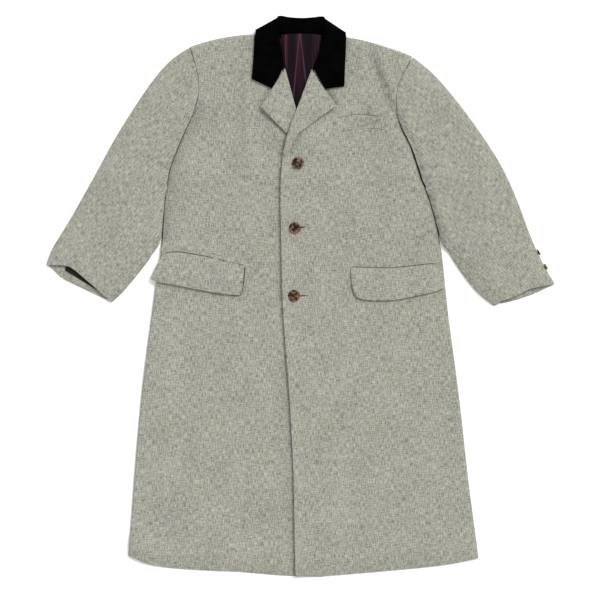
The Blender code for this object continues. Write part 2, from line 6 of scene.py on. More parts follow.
# %% Load the frame
import math
import bmesh
import bpy
import numpy as np
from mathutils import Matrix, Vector


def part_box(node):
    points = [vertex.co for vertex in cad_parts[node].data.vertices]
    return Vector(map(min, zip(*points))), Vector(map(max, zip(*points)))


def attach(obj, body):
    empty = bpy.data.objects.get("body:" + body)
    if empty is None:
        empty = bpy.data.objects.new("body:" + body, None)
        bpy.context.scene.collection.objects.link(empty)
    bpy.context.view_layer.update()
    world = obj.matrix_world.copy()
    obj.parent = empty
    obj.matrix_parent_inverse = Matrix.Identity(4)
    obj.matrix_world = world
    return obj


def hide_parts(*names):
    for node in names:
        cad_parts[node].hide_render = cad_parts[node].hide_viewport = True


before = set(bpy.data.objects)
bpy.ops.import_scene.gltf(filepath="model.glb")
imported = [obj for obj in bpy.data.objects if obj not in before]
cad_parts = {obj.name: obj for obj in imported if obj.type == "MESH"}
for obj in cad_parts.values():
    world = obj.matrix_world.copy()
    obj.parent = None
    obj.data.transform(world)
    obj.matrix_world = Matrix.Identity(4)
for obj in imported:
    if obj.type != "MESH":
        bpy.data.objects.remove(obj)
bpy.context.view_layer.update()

MM = 0.001

# %% [markdown]
# Cloth has no hard lumps: it rises and sinks in long soft waves. Each wave is a ridge or a trough
# along a short path, with its own width and height, all given in millimetres. The same
# waves move every layer that lies there, to keep the layers in their order.

# %% Soft folds, ridge or trough
# Each fold: path from one end to the other, width, height (below 0 for a trough).
FOLDS = (
    (((148, 530), (156, 486), (173, 440), (190, 395), (214, 352)), 12, -7.5),
    (((128, 500), (138, 460), (152, 410), (172, 360)), 16, 2.4),
    (((170, 528), (178, 486), (194, 444), (211, 404)), 13, 3.8),
    (((-186, 420), (-199, 380), (-218, 335), (-240, 280), (-254, 232)), 17, 3.4),
    (((-148, 480), (-146, 420), (-150, 350), (-160, 290)), 14, -3.2),
    (((-114, 470), (-115, 400), (-113, 330), (-118, 280)), 13, 3.2),
    (((-88, 400), (-80, 350), (-78, 290), (-82, 240)), 13, -2.8),
    (((-255, 235), (-205, 262), (-150, 270)), 15, 2.0),
    (((-270, 200), (-225, 215), (-180, 215)), 14, -1.2),
    (((240, 240), (190, 268), (140, 276)), 15, 2.0),
    (((262, 205), (215, 222), (170, 222)), 14, -1.2),
    (((-180, -60), (-190, -220), (-205, -420), (-212, -570)), 34, 2.2),
    (((-275, -120), (-285, -280), (-300, -470)), 26, 1.6),
    (((-95, -180), (-100, -350), (-112, -560)), 30, 1.4),
    (((120, -70), (128, -230), (150, -420), (160, -580)), 34, 2.2),
    (((225, -100), (240, -270), (258, -460), (270, -570)), 28, 1.8),
    (((60, -260), (68, -400), (75, -560)), 26, 1.2),
    (((-120, 330), (-128, 240), (-122, 150)), 26, 1.4),
    (((118, 330), (126, 235), (120, 140)), 26, 1.4),
    (((-330, 400), (-372, 330), (-410, 260)), 20, 2.4),
    (((-300, 300), (-340, 290), (-392, 306)), 13, -1.6),
    (((-318, 262), (-365, 250), (-418, 262)), 15, 2.2),
    (((-330, 205), (-385, 190), (-445, 196)), 14, -1.4),
    (((-385, 150), (-430, 120), (-478, 92)), 22, 1.8),
    (((322, 400), (366, 330), (404, 262)), 20, 2.4),
    (((296, 300), (336, 288), (388, 300)), 13, -1.6),
    (((312, 262), (360, 248), (412, 256)), 15, 2.2),
    (((326, 202), (380, 186), (438, 188)), 14, -1.4),
    (((380, 140), (430, 108), (480, 82)), 22, 1.8),
)
FOLD_STRENGTH = 1.35
# The cloth stays flat this far round each button.
BUTTON_REACH = 26
BUTTONS_AT = ((-5.4, 284), (-12.3, 145), (-14.2, -0.6))
# Slow waves of the whole cloth: wavelength, direction in degrees, start, height.
WAVES = (
    (310, 20, 0.4, 0.50), (225, 75, 2.1, 0.42), (170, 130, 4.0, 0.40), (128, 50, 1.3, 0.30),
    (96, 160, 5.2, 0.24), (74, 15, 3.3, 0.18), (57, 100, 0.9, 0.13),
)


def between(table, at):
    """The second column of a table at each value of its first, rows in rising order."""
    rows = np.array(table, float)
    return np.interp(at, rows[:, 0], rows[:, 1])


def ease(value, start, end):
    """0 before start, 1 after end, and a smooth step between them."""
    part = np.clip((value - start) / (end - start), 0, 1)
    return part * part * (3 - 2 * part)


def from_path(x, y, path):
    """How far points are from a path, and how far along it they are, from 0 to 1."""
    best = np.full(len(x), 1e9)
    place = np.zeros(len(x))
    for number, ((ax, ay), (bx, by)) in enumerate(zip(path, path[1:])):
        run_x, run_y = bx - ax, by - ay
        share = np.clip(((x - ax) * run_x + (y - ay) * run_y) / (run_x ** 2 + run_y ** 2), 0, 1)
        away = np.hypot(x - ax - run_x * share, y - ay - run_y * share)
        nearer = away < best
        best = np.where(nearer, away, best)
        place = np.where(nearer, (number + share) / (len(path) - 1), place)
    return best, place


def fold_height(x, y):
    """All the folds together, in millimetres, at places on the coat."""
    height = np.zeros(len(x))
    for path, width, rise in FOLDS:
        away, share = from_path(x, y, path)
        ends = np.sin(np.pi * np.clip(0.08 + 0.84 * share, 0, 1)) ** 0.6
        height += FOLD_STRENGTH * rise * ends * np.exp(-((away / width) ** 2))
    for length, angle, start, rise in WAVES:
        run = x * math.cos(math.radians(angle)) + y * math.sin(math.radians(angle))
        height += rise * np.sin(math.tau * run / length + start)
    for button_x, button_y in BUTTONS_AT:
        off = np.hypot(x - button_x, y - button_y)
        height *= 1 - np.exp(-((off / BUTTON_REACH) ** 4))
    return height


print(len(FOLDS), "folds and", len(WAVES), "waves")

# %% [markdown]
# A solid of the frame has few faces. Its copy gets quads again, keeps its cut edges by a crease and
# its corners by a crease on the point, and is then rounded by Subdivision Surface. That is quicker
# and truer to the cut than a new drawing, and the piece stays where the solid is.

# %% Copy a solid as a smooth cloth piece
MERGE = 0.02 * MM
CREASE_ANGLE = math.radians(58)
CORNER_ANGLE = math.radians(132)
SHORTEST_EDGE = 3.6 * MM
EDGE_CREASE = 0.82
CORNER_CREASE = 0.9


def only(obj):
    bpy.ops.object.select_all(action="DESELECT")
    obj.select_set(True)
    bpy.context.view_layer.objects.active = obj


def split_long_cells(piece, longest):
    """Cuts every edge over this length in two, so that a narrow ridge finds enough points."""
    bpy.ops.mesh.select_all(action="DESELECT")
    bpy.ops.mesh.select_mode(type="EDGE")
    work = bmesh.from_edit_mesh(piece.data)
    for edge in work.edges:
        edge.select_set(edge.calc_length() > longest)
    bmesh.update_edit_mesh(piece.data)
    bpy.ops.mesh.subdivide(number_cuts=1, quadcorner="INNERVERT")


def cloth_copy(node, name, levels, longest=None):
    """A smooth copy of a node's wall, with creased edges; the node itself is hidden."""
    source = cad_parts[node]
    piece = bpy.data.objects.new(name, source.data.copy())
    bpy.context.scene.collection.objects.link(piece)
    piece.data.materials.clear()
    only(piece)
    bpy.ops.object.mode_set(mode="EDIT")
    bpy.ops.mesh.select_all(action="SELECT")
    bpy.ops.mesh.remove_doubles(threshold=MERGE)
    bpy.ops.mesh.tris_convert_to_quads(face_threshold=math.radians(70),
                                       shape_threshold=math.radians(150))
    bpy.ops.mesh.normals_make_consistent(inside=False)
    if longest:
        split_long_cells(piece, longest)
    bpy.ops.object.mode_set(mode="OBJECT")
    work = bmesh.new()
    work.from_mesh(piece.data)
    crease = work.edges.layers.float.new("crease_edge")
    corner = work.verts.layers.float.new("crease_vert")
    sharp = set()
    for edge in work.edges:
        if len(edge.link_faces) == 2 and edge.calc_face_angle(0) > CREASE_ANGLE:
            edge[crease] = EDGE_CREASE
            sharp.add(edge)
    for point in work.verts:
        runs = [edge for edge in point.link_edges
                if edge in sharp and edge.calc_length() > SHORTEST_EDGE]
        if len(runs) == 2:
            first = runs[0].other_vert(point).co - point.co
            second = runs[1].other_vert(point).co - point.co
            if first.angle(second, math.pi) < CORNER_ANGLE:
                point[corner] = CORNER_CREASE
    work.to_mesh(piece.data)
    work.free()
    smooth = piece.modifiers.new("smooth", "SUBSURF")
    smooth.levels = smooth.render_levels = levels
    smooth.boundary_smooth = "PRESERVE_CORNERS"
    bpy.ops.object.modifier_apply(modifier="smooth")
    bpy.ops.object.shade_smooth()
    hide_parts(node)
    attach(piece, "root")
    return piece


def points_of(piece):
    """A piece's points in millimetres, as one array with a row for each."""
    flat = np.empty(len(piece.data.vertices) * 3)
    piece.data.vertices.foreach_get("co", flat)
    return flat.reshape(-1, 3) / MM


def put_points(piece, spots):
    piece.data.vertices.foreach_set("co", (spots * MM).ravel())
    piece.data.update()


# No fold goes lower than the top of the back, in millimetres, and nothing goes under the floor.
BACK_TOP = 2.7


def raise_folds(piece, share=1.0):
    """Moves the upper layers of a piece by the folds, less and less where they lie low."""
    spots = points_of(piece)
    z = spots[:, 2]
    held = np.clip((z - 1.5) / 5.5, 0, 1)
    lift = fold_height(spots[:, 0], spots[:, 1]) * held * share
    room = np.maximum(z - BACK_TOP, 0.01)
    sunk = BACK_TOP + room * np.exp(np.minimum(lift, 0) / room)
    spots[:, 2] = np.maximum(np.where((lift < 0) & (z > BACK_TOP), sunk, z + lift), 0)
    put_points(piece, spots)


print("edges sharper than", round(math.degrees(CREASE_ANGLE)), "degrees keep a crease")


# %% [markdown]
# Some places need their own shaping. Each is a small, smooth move of the points, worked out from
# how far they lie from a line of the cut, so the lines come first: the sides, the front edge, the
# hem, the inner edges of the sleeves, the rolls of the lapels and the tops of the pockets.

# %% Lines of the cut
# The lines of the cut, in millimetres. Tables that run up the coat have y first.
SIDE_RIGHT = ((-600, -369), (-461, -362), (-268, -347), (-74, -324), (98, -299), (141, -297),
              (177, -296), (231, -290), (254, -288), (308, -271), (356, -249), (384, -235),
              (419, -217), (450, -214), (471, -218), (504, -226), (532, -236))
SIDE_LEFT = ((-600, 386), (-461, 369), (-268, 347), (-74, 321), (98, 303), (141, 297),
             (177, 288), (231, 271), (257, 258), (288, 252), (323, 241), (351, 223),
             (390, 207), (420, 202), (448, 206), (469, 215), (494, 230), (513, 238))
FRONT_EDGE = ((-604, -11), (-504, -13), (-379, -15), (-257, -21), (-133, -30), (-50, -37),
              (17, -40), (96, -41), (173, -43), (239, -43), (291, -40), (326, -35), (344, -29),
              (360, -24), (387, -14), (400, -8), (487, 24))
HEM = ((-371, -560), (-343, -576), (-274, -586), (-203, -591), (-134, -593), (-63, -599),
       (-11, -604), (46, -603), (137, -596), (227, -588), (317, -579), (386, -566))
INNER_RIGHT = ((-15, -405), (-9, -392), (12, -377), (55, -341), (98, -310), (120, -302),
               (150, -300), (185, -300), (231, -293))
INNER_LEFT = ((-22, 415), (-7, 392), (12, 373), (55, 341), (98, 314), (125, 303), (155, 299),
              (190, 290), (231, 273))
# From the armhole down to where the sleeve leaves the side.
ARM_CREASES = (
    ((-215, 428), (-219, 414), (-235, 384), (-249, 356), (-271, 308), (-288, 254), (-291, 225),
     (-296, 170), (-298, 125)),
    ((203, 428), (205, 400), (223, 351), (241, 323), (252, 288), (258, 257), (271, 231),
     (288, 177), (297, 141), (302, 115)),
)
ROLLS = (((20, 296), (12, 334), (-9, 400), (-33, 489)),
         ((-40, 291), (-35, 326), (-29, 344), (-14, 387), (-8, 400), (24, 487)))
FLAP_TOPS = (((-297, 88), (-280, 94), (-258, 94.5), (-208, 85), (-121, 63)),
             ((300, 68), (278, 69), (243, 65), (195, 60), (107, 62)))
WELT_TOP = ((70, 378), (117, 388), (144, 387), (182, 382))
LAPEL_SHADES = (((-62, 452), (-86, 407), (-60, 378), (-31, 349)),
                ((50, 452), (79, 407), (48, 382), (0, 349), (-14, 334), (-25, 312)))
BREAK_END = 296
print("the front edge is given at", len(FRONT_EDGE), "places and the hem at", len(HEM))

# %% [markdown]
# A front edge is thick, so it stands a little over the cloth beside it, and the hem, where the
# cloth is doubled, has a soft ridge and rolls down to the floor. Beside each sleeve the body is
# pressed down into a crease. That goes deeper than there is room over the back, so the walls run
# into the back's there, mostly under the sleeve or a dark strip of painted shade.

# %% Shape the fronts
def bell(away, width):
    """1 on a line, and falling softly to 0 on both sides of it."""
    return np.exp(-((away / width) ** 2))


def roll_hem(spots, up):
    """Lets the hem down to the floor, with a soft ridge above it where the cloth is doubled."""
    above = spots[:, 1] - between(HEM, spots[:, 0])
    layer = np.clip((spots[:, 2] - 2.6) / 1.5, 0, 1)
    spots[:, 2] += layer * (5.2 * bell(above - 32, 19) * up - 2.4 * (1 - ease(above, 0, 9)))


def shape_body(spots, up):
    """What both fronts share: hem, pocket seams and the deep crease beside each sleeve."""
    for path in FLAP_TOPS:
        away, _ = from_path(spots[:, 0], spots[:, 1], path)
        spots[:, 2] -= 0.9 * bell(away, 5) * up
    for path in LAPEL_SHADES:
        away, _ = from_path(spots[:, 0], spots[:, 1], path)
        spots[:, 2] -= 2.6 * bell(away, 9) * ease(spots[:, 2], 4, 7)
    for path, width in zip(ARM_CREASES, (18, 10)):
        away, share = from_path(spots[:, 0], spots[:, 1], path)
        deep = ease(share, 0.0, 0.25) * ease(spots[:, 2], 3, 7)
        spots[:, 2] -= 9.0 * bell(away, width) * deep
    roll_hem(spots, up)


def shape_front_left(spots, up):
    x, y = spots[:, 0], spots[:, 1]
    line = between(FRONT_EDGE, y)
    turned = ease(y, 285, 318) * (1 - ease(y, 306, 330)) * (1 - ease(x - line, 4, 40))
    below = 1 - ease(y, 262, 300)
    spots[:, 2] += (4.0 * up * bell(x - line, 12) + 0.2 * (1 - up) * bell(x - line, 8)) * below
    spots[:, 0] -= 5.8 * turned
    shape_body(spots, up)


def shape_front_right(spots, up):
    x, y = spots[:, 0], spots[:, 1]
    away = x - between(FRONT_EDGE, y) + 4
    spots[:, 2] -= 2.3 * bell(away, 11) * (1 - ease(y, 262, 300)) * ease(spots[:, 2], 1.5, 3)
    shape_body(spots, up)


print("the fronts are shaped by", len(ARM_CREASES), "creases and", len(FLAP_TOPS), "flap seams")

# %% [markdown]
# A flap is sewn in at its top, so it rises from its seam to its loose edge. A welt is the other way
# round: its top is open, and its foot and ends are sewn down.

# %% Shape flaps and welt
def shape_flap(spots, up):
    """The top edge goes down into its seam, and the loose edge stands off a little."""
    away = np.minimum(*(from_path(spots[:, 0], spots[:, 1], path)[0] for path in FLAP_TOPS))
    spots[:, 2] += 2.6 * ease(away, 6, 50) - 1.2 * bell(away, 4)


def shape_welt(spots, up):
    """A welt is sewn down at its foot and its ends, and open at its top."""
    x, y = spots[:, 0], spots[:, 1]
    foot = ease(between(WELT_TOP, x) - y, 4, 24)
    ends = 1 - ease(np.minimum(x - 70, 182 - x), 0, 10)
    spots[:, 2] -= 2.5 * np.maximum(foot, ends)


print("a welt from", WELT_TOP[0], "to", WELT_TOP[-1])

# %% [markdown]
# A sleeve lies close against the side and a little over it. Near the armhole it is pushed in so
# far that no floor shows between them, and below that its inner fold is rounded down.

# %% Shape the sleeves
CREASE_RIDGE = 3.0


def shape_sleeve(spots, side, inner, crease, pit, sign):
    """Lays the sleeve against the body, with a ridge beside its crease and a round inner fold."""
    x, y = spots[:, 0].copy(), spots[:, 1].copy()
    off = (x - between(side, y)) * sign
    gap = np.abs(between(inner, y)) - np.abs(between(side, y))
    beside = ease(y, 88, 128) * (1 - ease(y, 231, 236))
    lapped = ease(y, 231, 236) * (1 - ease(y, 385, 420))
    push = (gap + 1.2) * bell(off - gap, 14) * beside + 2.2 * bell(off, 12) * lapped
    push += 5.0 * bell(np.hypot(x - pit[0], y - pit[1]), 18)
    spots[:, 0] -= sign * (push + 0.5 * bell(off, 8) * ease(y, 400, 430))
    away, share = from_path(spots[:, 0], spots[:, 1], crease)
    deep = ease(share, 0.0, 0.25) * (spots[:, 2] > 4)
    spots[:, 2] += (CREASE_RIDGE * bell(away - 14, 10) - 2.0 * bell(away, 6)) * deep
    low = [(at_x, at_y) for at_y, at_x in inner if at_y < 110]
    away, _ = from_path(x, y, low)
    spots[:, 2] *= 1 - 0.34 * bell(away, 17) * (1 - ease(y, 110, 150))


def right_sleeve(spots, up):
    shape_sleeve(spots, SIDE_RIGHT, INNER_RIGHT, ARM_CREASES[0], (-291, 241), -1)


def left_sleeve(spots, up):
    shape_sleeve(spots, SIDE_LEFT, INNER_LEFT, ARM_CREASES[1], (266, 240), 1)


print("the ridge beside each crease is", CREASE_RIDGE, "mm high")

# %% [markdown]
# Lapels and collar are pressed over a roll, so they spring up towards their outer edge. The left
# lapel melts into the front where its roll ends, and the neck lining has a pleat at the centre.
# SHAPES says which rule each piece gets.

# %% Shape lapels, collar and neck
def shape_lapel(spots, up):
    """A lapel springs up a little towards its outer edge."""
    away = np.minimum(*(from_path(spots[:, 0], spots[:, 1], path)[0] for path in ROLLS))
    spots[:, 2] += 4.6 * ease(away, 8, 58)
    for path in ROLLS:
        top_x, top_y = path[-1]
        spots[:, 2] += 1.8 * bell(np.hypot(spots[:, 0] - top_x, spots[:, 1] - top_y), 16)


DRAWN_FROM = 345
DRAWN_LENGTH = 31


def shape_lapel_left(spots, up):
    """Draws the lower end of the lapel out to a point that sinks into the front."""
    shape_lapel(spots, up)
    x, y = spots[:, 0].copy(), spots[:, 1].copy()
    low = np.clip(DRAWN_FROM - y, 0, None)
    spots[:, 1] = y - low * (DRAWN_FROM - BREAK_END - DRAWN_LENGTH) / DRAWN_LENGTH
    share = np.clip((DRAWN_FROM - spots[:, 1]) / (DRAWN_FROM - BREAK_END), 0, 1) ** 3
    new_line = between(FRONT_EDGE, spots[:, 1])
    spots[:, 0] = new_line + (x - between(FRONT_EDGE, y)) * (1 - 0.55 * share)
    spots[:, 2] -= 4.4 * share


def shape_collar(spots, up):
    """The collar's points stand a little off the shoulders."""
    for at_x, at_y, rise in ((-104, 464, 3.5), (94, 448, 2.0)):
        spots[:, 2] += rise * bell(np.hypot(spots[:, 0] - at_x, spots[:, 1] - at_y), 38)


def shape_neck(spots, up):
    """The centre pleat of the lining opens as two soft edges with a valley between them."""
    x = spots[:, 0] + 0.02 * (560 - spots[:, 1])
    pleat = 1.5 * bell(x + 3.5, 3.2) + 1.3 * bell(x - 7, 3) - 1.6 * bell(x - 2.2, 2.6)
    folds = 0.9 * bell(x + 31, 5) - 0.7 * bell(x + 22, 5) + 0.9 * bell(x - 32, 5)
    spots[:, 2] += (pleat + folds) * ease(spots[:, 1], 380, 430)


SHAPES = {
    "front_left": shape_front_left,
    "front_right": shape_front_right,
    "flap_left": shape_flap,
    "flap_right": shape_flap,
    "breast_welt": shape_welt,
    "lapel_left": shape_lapel_left,
    "lapel_right": shape_lapel,
    "collar": shape_collar,
    "neck_lining": shape_neck,
    "sleeve_top_right": right_sleeve,
    "sleeve_under_right": right_sleeve,
    "sleeve_top_left": left_sleeve,
    "sleeve_under_left": left_sleeve,
}


def shape(piece, node):
    """Moves a piece's points by its own rule; up is 1 on its outer face and 0 on its lining."""
    if node in SHAPES:
        spots = points_of(piece)
        normals = np.empty(len(spots) * 3)
        piece.data.vertices.foreach_get("normal", normals)
        SHAPES[node](spots, ease(normals.reshape(-1, 3)[:, 2], -0.6, 0.4))
        put_points(piece, spots)


print(len(SHAPES), "pieces have their own shaping")

# %% [markdown]
# Every material below is made of nodes. A few short hands for adding them keep the recipes easy to
# read: each puts one node in a tree, joins what is given to its sockets and hands back its output.

# %% Helpers for node trees
def group(name, inputs, outputs):
    made = bpy.data.node_groups.new(name, "ShaderNodeTree")
    for label, kind, value in inputs:
        socket = made.interface.new_socket(name=label, in_out="INPUT", socket_type=kind)
        if value is not None:
            socket.default_value = value
    for label, kind in outputs:
        made.interface.new_socket(name=label, in_out="OUTPUT", socket_type=kind)
    return made, made.nodes.new("NodeGroupInput"), made.nodes.new("NodeGroupOutput")


class Net:
    """Short hands for adding nodes to one tree."""

    def __init__(self, tree):
        self.tree = tree

    def put(self, socket, value):
        if isinstance(value, bpy.types.NodeSocket):
            self.tree.links.new(value, socket)
        elif value is not None:
            socket.default_value = value

    def math(self, operation, a, b=None):
        node = self.tree.nodes.new("ShaderNodeMath")
        node.operation = operation
        for socket, value in zip(node.inputs, (a, b)):
            self.put(socket, value)
        return node.outputs[0]

    def noise(self, vector, scale, detail=2.0, roughness=0.5):
        node = self.tree.nodes.new("ShaderNodeTexNoise")
        node.inputs["Scale"].default_value = scale
        node.inputs["Detail"].default_value = detail
        node.inputs["Roughness"].default_value = roughness
        self.put(node.inputs["Vector"], vector)
        return node.outputs["Fac"]

    def vector(self, x, y, z=0.0):
        node = self.tree.nodes.new("ShaderNodeCombineXYZ")
        for socket, value in zip(node.inputs, (x, y, z)):
            self.put(socket, value)
        return node.outputs[0]

    def mix(self, factor, a, b):
        node = self.tree.nodes.new("ShaderNodeMix")
        node.data_type = "RGBA"
        self.put(node.inputs[0], factor)
        self.put(node.inputs[6], a)
        self.put(node.inputs[7], b)
        return node.outputs[2]

    def span(self, value, low, high, to_low=0.0, to_high=1.0):
        node = self.tree.nodes.new("ShaderNodeMapRange")
        node.clamp = True
        for socket, item in zip(node.inputs, (value, low, high, to_low, to_high)):
            self.put(socket, item)
        return node.outputs[0]


print("helpers:", [name for name in vars(Net) if not name.startswith("_")])

# %% [markdown]
# The tweed is woven as a fine herringbone: columns of slanting lines that turn back on each other.
# The yarn itself is mottled, so that the cloth looks light grey with darker and greener flecks.
# The pattern is one node group, with the cloth's grain angle and its fold side as inputs, so that
# the sleeves and lapels can turn it with their own cut. The fold side carries part of the height
# over to the pattern, so that it is not drawn out where the cloth turns down at the sides.

# %% Herringbone group
HERRINGBONE_WIDTH = 9.0
TWILL_PITCH = 3.2
# How much each layer adds to the tone, and the span of tones from dark to pale yarn.
WARP, WEFT, FLECK, TWILL, CLOUD = 0.41, 0.32, 0.27, 0.09, 0.07
DARKEST, PALEST = 0.385, 0.615
weave, given, out = group(
    "herringbone",
    (("Vector", "NodeSocketVector", None), ("Grain", "NodeSocketFloat", 0.0),
     ("Fold side", "NodeSocketFloat", 1.0)),
    (("Color", "NodeSocketColor"), ("Height", "NodeSocketFloat")),
)
net = Net(weave)
parts = weave.nodes.new("ShaderNodeSeparateXYZ")
weave.links.new(given.outputs["Vector"], parts.inputs[0])
z_out = net.math("MULTIPLY", parts.outputs[2], given.outputs["Fold side"])
across = net.math("MULTIPLY", net.math("SUBTRACT", parts.outputs[0], z_out), 1000.0)
up = net.math("MULTIPLY", parts.outputs[1], 1000.0)
cosine = net.math("COSINE", given.outputs["Grain"])
sine = net.math("SINE", given.outputs["Grain"])
u = net.math("ADD", net.math("MULTIPLY", across, cosine), net.math("MULTIPLY", up, sine))
v = net.math("SUBTRACT", net.math("MULTIPLY", up, cosine), net.math("MULTIPLY", across, sine))


def yarn(along_u, along_v, start, detail, roughness=0.5):
    """Noise over the threads, in waves to the millimetre: a small number draws it out."""
    place = net.vector(net.math("MULTIPLY", u, along_u), net.math("MULTIPLY", v, along_v), start)
    return net.noise(place, 1.0, detail, roughness)


wander = yarn(0.05, 0.05, 0.0, 2.0)
u_bent = net.math("ADD", u, net.math("MULTIPLY", net.math("SUBTRACT", wander, 0.5), 3.0))
column = net.math("PINGPONG", u_bent, HERRINGBONE_WIDTH)
slant = net.math("ADD", v, column)
line = net.math("SINE", net.math("MULTIPLY", slant, math.tau / TWILL_PITCH))
line01 = net.math("ADD", net.math("MULTIPLY", line, 0.5), 0.5)
warp = yarn(0.57, 0.08, 0.0, 1.5)
weft = yarn(0.08, 0.57, 4.0, 1.5)
fleck = yarn(0.56, 0.50, 9.0, 2.0, 0.6)
cloud = yarn(0.016, 0.012, 2.0, 1.5)
tint = yarn(0.022, 0.016, 7.0, 1.0)
tone = net.math("ADD", net.math("MULTIPLY", warp, WARP), net.math("MULTIPLY", weft, WEFT))
tone = net.math("ADD", tone, net.math("MULTIPLY", fleck, FLECK))
for layer, weight in ((line01, TWILL), (cloud, CLOUD)):
    swing = net.math("SUBTRACT", layer, 0.5)
    tone = net.math("ADD", tone, net.math("MULTIPLY", swing, weight))
light = net.span(tone, DARKEST, PALEST)
greener = net.span(tint, 0.35, 0.65)
dark_yarn = net.mix(greener, (0.115, 0.115, 0.093, 1), (0.114, 0.115, 0.099, 1))
pale_yarn = net.mix(greener, (0.396, 0.393, 0.330, 1), (0.391, 0.392, 0.340, 1))
weave.links.new(net.mix(light, dark_yarn, pale_yarn), out.inputs["Color"])
relief = net.math("ADD", net.math("MULTIPLY", line01, 0.5), net.math("MULTIPLY", fleck, 0.6))
weave.links.new(relief, out.inputs["Height"])
print("herringbone columns", HERRINGBONE_WIDTH, "mm wide, lines", TWILL_PITCH, "mm apart")

# %% [markdown]
# The back, fronts, sleeves and lapels each have their own grain angle and so their own tweed
# material, all with the same node group. Flaps and welt take the material of their front. Wool
# scatters light, so the finish is rough with a little sheen.

# %% Tweed, one material for each grain angle
def fabric(name, roughness, sheen=0.0, sheen_roughness=0.5, sheen_tint=(1, 1, 1)):
    made = bpy.data.materials.new(name)
    made.use_nodes = True
    shader = made.node_tree.nodes["Principled BSDF"]
    shader.inputs["Roughness"].default_value = roughness
    shader.inputs["Specular IOR Level"].default_value = 0.2
    shader.inputs["Sheen Weight"].default_value = sheen
    shader.inputs["Sheen Roughness"].default_value = sheen_roughness
    shader.inputs["Sheen Tint"].default_value = (*sheen_tint, 1)
    return made, shader, Net(made.node_tree)


def coordinates(net):
    return net.tree.nodes.new("ShaderNodeTexCoord").outputs["Object"]


def bump(net, shader, height, strength, distance):
    node = net.tree.nodes.new("ShaderNodeBump")
    node.inputs["Strength"].default_value = strength
    node.inputs["Distance"].default_value = distance
    net.put(node.inputs["Height"], height)
    net.put(shader.inputs["Normal"], node.outputs[0])


def tweed(name, grain, fold_side):
    made, shader, net = fabric(name, 0.95, 0.12, 0.6)
    cloth = made.node_tree.nodes.new("ShaderNodeGroup")
    cloth.node_tree = weave
    net.put(cloth.inputs["Vector"], coordinates(net))
    cloth.inputs["Grain"].default_value = math.radians(grain)
    cloth.inputs["Fold side"].default_value = fold_side
    net.put(shader.inputs["Base Color"], cloth.outputs["Color"])
    bump(net, shader, cloth.outputs["Height"], 0.35, 0.7 * MM)
    return made


tweed_left = tweed("tweed_left_front", -1.5, 0.5)
tweed_right = tweed("tweed_right_front", 1.5, -0.5)
tweed_back = tweed("tweed_back", 0, 0)
tweed_sleeve_left = tweed("tweed_left_sleeve", 29, 0.5)
tweed_sleeve_right = tweed("tweed_right_sleeve", -29, -0.5)
tweed_lapel_left = tweed("tweed_left_lapel", -16, 0)
tweed_lapel_right = tweed("tweed_right_lapel", 16, 0)
print("the sleeves' grain is turned by 29 degrees, the lapels' by 16")

# %% [markdown]
# Velvet is a short upright pile. It looks black from above and a little paler where it turns away
# from the eye, which is what Sheen does, and the pile lies unevenly in soft patches.

# %% Velvet
velvet, shader, net = fabric("black_velvet", 0.95, 0.012, 0.4, (0.6, 0.65, 0.8))
shader.inputs["Specular IOR Level"].default_value = 0.01
place = coordinates(net)
nap = net.noise(place, 45.0, 3.0)
pile = net.noise(place, 1600.0, 2.0)
NAP_DARK = (0.0006, 0.0006, 0.0007, 1)
NAP_PALE = (0.0014, 0.0014, 0.0016, 1)
net.put(shader.inputs["Base Color"], net.mix(net.span(nap, 0.35, 0.7), NAP_DARK, NAP_PALE))
bump(net, shader, pile, 0.5, 0.4 * MM)
print("made", velvet.name)

# %% [markdown]
# The lining is satin with broad stripes in plum and charcoal. The stripes run up the coat, as fine
# threads do and so do long soft streaks of painted fold shade. The neck pleat is pressed, and its
# edges have painted highlights.

# %% Striped lining
STRIPE_WIDTH = 17.0
STRIPE_START = 18.5 + 40 * STRIPE_WIDTH
PLUM = (0.029, 0.0105, 0.0170, 1)
CHARCOAL = (0.0085, 0.0060, 0.0078, 1)
THREAD_SHADE = (0.006, 0.004, 0.006, 1)
FOLD_SHADE = (0.004, 0.003, 0.004, 1)
PLEAT_HIGHLIGHT = (0.068, 0.028, 0.042, 1)
COLLAR_LINE = 549.0


def lining(name, highlights=()):
    """Striped satin; each painted highlight on a pleat edge has its offset, slant and width."""
    made, shader, net = fabric(name, 0.42)
    shader.inputs["Specular IOR Level"].default_value = 0.03
    parts = net.tree.nodes.new("ShaderNodeSeparateXYZ")
    net.put(parts.inputs[0], coordinates(net))
    across = net.math("MULTIPLY", parts.outputs[0], 1000.0)
    up = net.math("MULTIPLY", parts.outputs[1], 1000.0)
    bands = net.math("PINGPONG", net.math("ADD", across, STRIPE_START), STRIPE_WIDTH)
    is_plum = net.span(bands, STRIPE_WIDTH * 0.49, STRIPE_WIDTH * 0.55)
    place = net.vector(net.math("MULTIPLY", across, 3.0), net.math("MULTIPLY", up, 0.06))
    threads = net.noise(place, 1.0, 2.0)
    tone = net.mix(is_plum, CHARCOAL, PLUM)
    tone = net.mix(net.span(threads, 0.3, 0.7, 0.0, 0.35), tone, THREAD_SHADE)
    # Painted shade: long soft streaks, darker as if in folds.
    place = net.vector(net.math("MULTIPLY", across, 0.22), net.math("MULTIPLY", up, 0.006), 1.0)
    folds = net.noise(place, 1.0, 1.0)
    tone = net.mix(net.span(folds, 0.38, 0.62, 0.0, 0.6), tone, FOLD_SHADE)
    below = net.math("SUBTRACT", COLLAR_LINE, up)
    # Painted highlights along the pleat's edges.
    for edge, slant, width in highlights:
        leaned = net.math("MULTIPLY", below, slant)
        away = net.math("SUBTRACT", net.math("SUBTRACT", across, edge), leaned)
        away = net.math("ABSOLUTE", away)
        tone = net.mix(net.span(away, 0.3, width, 0.85, 0.0), tone, PLEAT_HIGHLIGHT)
    net.put(shader.inputs["Base Color"], tone)
    bump(net, shader, threads, 0.12, 0.3 * MM)
    return made


